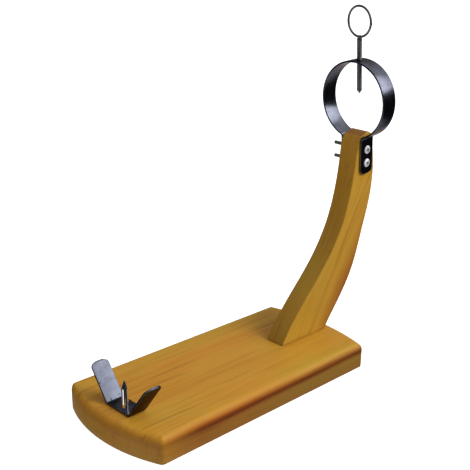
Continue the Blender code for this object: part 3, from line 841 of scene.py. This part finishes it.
def make_spike():
    low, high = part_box("cradle_spike")
    place = middle("cradle_spike")
    radius, point = (high.x - low.x) / 2, 12 * MM
    length = high.z - low.z
    thread_top = board_top - low.z - 8 * MM
    stations = [(0, 0), (radius - 0.8 * MM, 0)]
    stations += list(threaded(radius, 0.8 * MM, thread_top, M8_PITCH, 0.5 * MM))
    shoulder = length - point
    stations += [(radius, thread_top + 0.001), (radius, shoulder - 1.2 * MM)]
    for i in range(1, 6):
        t = i / 6
        stations.append((radius * (1 - 0.06 * t * t), shoulder - 1.2 * MM + 2.0 * MM * t))
    for i in range(1, 12):
        t = i / 12
        stations.append((radius * 0.92 * (1 - t) ** 0.92, shoulder + 1.0 * MM + (point - 1.0 * MM) * t))
    stations.append((0, length))
    spike = lathe("chrome_spike", stations, Matrix.Translation((place.x, place.y, low.z)), 56, M8_PITCH, 50)
    finish_piece(spike, chrome, "stand", "bright_steel", "cradle_spike")


def make_pin_rod():
    stations = [(0, 0), (PIN_RADIUS - 0.5 * MM, 0), (PIN_RADIUS - 0.1 * MM, -0.5 * MM)]
    stations += list(threaded(PIN_RADIUS, -2 * MM, PIN_POINT + 0.5 * MM - PIN_LENGTH, PIN_PITCH, 0.3 * MM))
    stations += [(PIN_RADIUS - 0.15 * MM, PIN_POINT - PIN_LENGTH), (0, -PIN_LENGTH)]
    matrix = axes_to(pin_at(PIN_ABOVE_COLLAR), pin_direction(), RING_AXIS)
    rod = lathe("eye_screw_rod", stations, matrix, 36, PIN_PITCH, 60)
    finish_piece(rod, dark_rod, "eye_screw_rod", "blackened_steel", "pin_rod")


def make_pin_ring():
    """The wire eye, with the small kink of its butt joint, and the bead of weld that holds it on the rod."""
    rings = []
    steps = 128
    for i in range(steps):
        turn = 2 * math.pi * i / steps
        kink = math.exp(-((turn - 2 * math.pi + 1.45) / 0.06) ** 2)
        reach = PIN_RING_RADIUS + 0.35 * MM * kink
        size = PIN_RING_WIRE * (1 + 0.2 * kink)
        centre = Vector((0, math.sin(turn), -math.cos(turn))) * reach
        out = centre.normalized()
        rings.append([centre + (out * math.cos(a) + X_AXIS * math.sin(a)) * size
                      for a in (2 * math.pi * k / 20 for k in range(20))])
    ring = from_rings("eye_screw_ring", rings, close=True, smooth_angle=80)
    bead_rings = []
    for i in range(13):
        t = i / 12
        height = -PIN_RING_RADIUS - PIN_RING_WIRE + 3.4 * MM * t
        swell = math.sqrt(max(0.0, 1 - (2 * t * 0.82 - 0.82) ** 2))
        size = 3.2 * MM * swell if 0 < t < 1 else 1.6 * MM
        points = circle(size, height, 28)
        for point in points:
            lump = noise.noise(Vector((point.x * 600, point.y * 600, point.z * 600 + 3)))
            point.x *= 1 + 0.16 * lump
            point.y *= 1 + 0.16 * lump
        bead_rings.append(points)
    bead = from_rings("bead", bead_rings, smooth_angle=80)
    join = ring.modifiers.new("Weld", "BOOLEAN")
    join.operation = "UNION"
    join.solver = "EXACT"
    join.object = bead
    baked(ring)
    bpy.data.objects.remove(bead)
    ring.data.shade_smooth()
    ring.data.set_sharp_from_angle(angle=math.radians(70))
    centre = pin_at(PIN_ABOVE_COLLAR + GAP + PIN_RING_RADIUS + PIN_RING_WIRE)
    facing = RING_AXIS * math.cos(PIN_RING_TURN) - Y_AXIS * math.sin(PIN_RING_TURN)
    ring.data.transform(axes_to(centre, pin_direction(), facing))
    finish_piece(ring, dark_rod, "eye_screw_ring", "blackened_steel", "pin_ring")


def make_foot_screws():
    for node in FOOT_SCREWS:
        low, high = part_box(node)
        place = middle(node)
        length = high.z - low.z
        head, shank = FOOT_SCREW_HEAD, FOOT_SCREW_SHANK
        stations = [(0, 0), (head - 0.2 * MM, 0), (head, 0.2 * MM), (shank, head - shank), (shank, 24 * MM)]
        stations += list(threaded(shank, 24.2 * MM, length - 8 * MM, WOOD_PITCH, 0.9 * MM, 9))
        stations += [(shank * 0.6, length - 4 * MM), (0, length)]
        matrix = Matrix.Translation((place.x, place.y, low.z))
        screw = lathe(node.replace("arm_screw", "wood_screw"), stations, matrix, 36, WOOD_PITCH)
        face = axes_to(Vector((place.x, place.y, low.z)), -Z_AXIS)
        carve(screw, cross_recess(6.4 * MM, 2.2 * MM, 1.3 * MM, face))
        finish_piece(screw, zinc, "stand", "zinc_plated_steel", node)


def make_foot_dowels():
    for node in FOOT_DOWELS:
        low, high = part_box(node)
        place = middle(node)
        radius, length = (high.x - low.x) / 2, high.z - low.z

        def flute(angle):
            return -0.35 * MM * (0.5 + 0.5 * math.cos(18 * angle))

        heights = [0.0, 0.3, 0.7, 1.0]
        rings = [circle(radius - MM * (1 - h), h * MM, 108, flute) for h in heights]
        rings += [circle(radius - MM * (1 - h), length - h * MM, 108, flute) for h in reversed(heights)]
        dowel = from_rings(node.replace("arm_dowel", "fluted_dowel"), rings, smooth_angle=30)
        dowel.data.transform(Matrix.Translation((place.x, place.y, low.z)))
        finish_piece(dowel, beech, "stand", "dowel_beech", node)


make_board()
make_arm()
make_collar()
make_cradle()
make_collar_screws()
make_nuts()
make_washer()
make_spike()
make_pin_rod()
make_pin_ring()
make_foot_screws()
make_foot_dowels()


# ---------------------------------------------------------------- floor, light and camera


def make_floor():
    mesh = bpy.data.meshes.new("floor")
    bm = bmesh.new()
    bmesh.ops.create_grid(bm, x_segments=1, y_segments=1, size=20)
    bm.to_mesh(mesh)
    bm.free()
    floor = link(bpy.data.objects.new("floor", mesh))
    n = Nodes("floor_white")
    grain = n.noise(n.place, 3.0, 2.0)
    colour = n.mix(n.grey(grain, 0.3, 0.7), (0.5, 0.5, 0.5), (0.52, 0.52, 0.52))
    n.drive(Base_Color=colour, Roughness=0.9, Emission_Color=(1.0, 1.0, 1.0, 1.0), Emission_Strength=0.93)
    mesh.materials.append(n.material)
    floor.visible_glossy = False
    floor.visible_diffuse = False


def make_world():
    world = bpy.data.worlds.new("studio")
    bpy.context.scene.world = world
    world.use_nodes = True
    tree = world.node_tree
    background = tree.nodes["Background"]

    def node(kind, inputs, **settings):
        made = tree.nodes.new(kind)
        for key, value in settings.items():
            setattr(made, key, value)
        for key, value in inputs.items():
            if isinstance(value, bpy.types.NodeSocket):
                tree.links.new(value, made.inputs[key])
            else:
                made.inputs[key].default_value = value
        return made

    def ramped(value, low, high, out_low, out_high):
        inputs = {"Value": value, "From Min": low, "From Max": high, "To Min": out_low, "To Max": out_high}
        return node("ShaderNodeMapRange", inputs, interpolation_type="SMOOTHSTEP").outputs["Result"]

    def math_node(operation, a, b):
        return node("ShaderNodeMath", {0: a, 1: b}, operation=operation).outputs[0]

    def towards(axis):
        return node("ShaderNodeVectorMath", {0: direction, 1: axis}, operation="DOT_PRODUCT").outputs["Value"]

    direction = tree.nodes.new("ShaderNodeTexCoord").outputs["Generated"]
    height = node("ShaderNodeSeparateXYZ", {"Vector": direction}).outputs["Z"]
    softbox = towards(SOFTBOX)
    beyond = towards(BACKDROP)
    aside = towards(SIDE_CARD)
    wide = ramped(softbox, 0.15, 0.8, 0.3, 1.0)
    glow = ramped(softbox, 0.88, 0.99, 0.0, 2.7)
    upper = math_node("MULTIPLY", math_node("ADD", wide, glow), ramped(height, 0.22, 0.32, 0.0, 1.0))
    pale = math_node("ADD", ramped(beyond, 0.70, 0.95, 0.0, 1.0), ramped(aside, 0.93, 0.985, 0.0, 1.3))
    table = ramped(height, -0.5, -0.75, 0.0, 0.9)
    lower = math_node("ADD", math_node("MULTIPLY", pale, ramped(height, 0.0, 0.1, 1.0, 0.0)), table)
    lit = math_node("ADD", math_node("ADD", upper, lower), 0.02)
    seen = tree.nodes.new("ShaderNodeLightPath").outputs["Is Camera Ray"]
    total = math_node("MAXIMUM", lit, seen)
    background.inputs["Color"].default_value = (0.95, 0.97, 1.0, 1.0)
    tree.links.new(total, background.inputs["Strength"])


def make_light(name, direction, distance, size, power):
    """A soft square light that shows in no reflection, aimed at the middle of the stand."""
    light = bpy.data.lights.new(name, "AREA")
    light.size = size
    light.energy = power
    obj = link(bpy.data.objects.new(name, light))
    towards = Vector(direction).normalized()
    obj.matrix_world = axes_to(LIGHTS_AIM + towards * distance, towards)
    obj.visible_glossy = False


def make_camera():
    camera = bpy.data.cameras.new("camera")
    camera.sensor_width = 36.0
    camera.lens = CAMERA_LENS
    camera.shift_x, camera.shift_y = CAMERA_SHIFT
    camera.clip_start = 0.05
    camera.clip_end = 60.0
    obj = link(bpy.data.objects.new("camera", camera))
    flat = math.cos(CAMERA_ELEVATION)
    back = Vector((math.sin(CAMERA_AZIMUTH) * flat, -math.cos(CAMERA_AZIMUTH) * flat,
                   math.sin(CAMERA_ELEVATION)))
    right = (-back).cross(Z_AXIS).normalized()
    up = right.cross(-back)
    turned_right = right * math.cos(CAMERA_ROLL) + up * math.sin(CAMERA_ROLL)
    turned_up = up * math.cos(CAMERA_ROLL) - right * math.sin(CAMERA_ROLL)
    matrix = Matrix((turned_right, turned_up, back)).transposed().to_4x4()
    matrix.translation = CAMERA_TARGET + back * CAMERA_DISTANCE
    obj.matrix_world = matrix
    bpy.context.scene.camera = obj


make_floor()
make_world()
make_light("key", (0.45, -0.75, 0.75), 2.2, 1.2, 29.0)
make_light("overhead", (0.1, -0.1, 1.0), 2.2, 1.4, 2.0)
make_light("left", (-0.9, -0.2, 0.3), 2.4, 1.2, 14.0)
make_camera()
bpy.context.scene.view_settings.view_transform = "Standard"
bpy.context.scene.view_settings.look = "None"
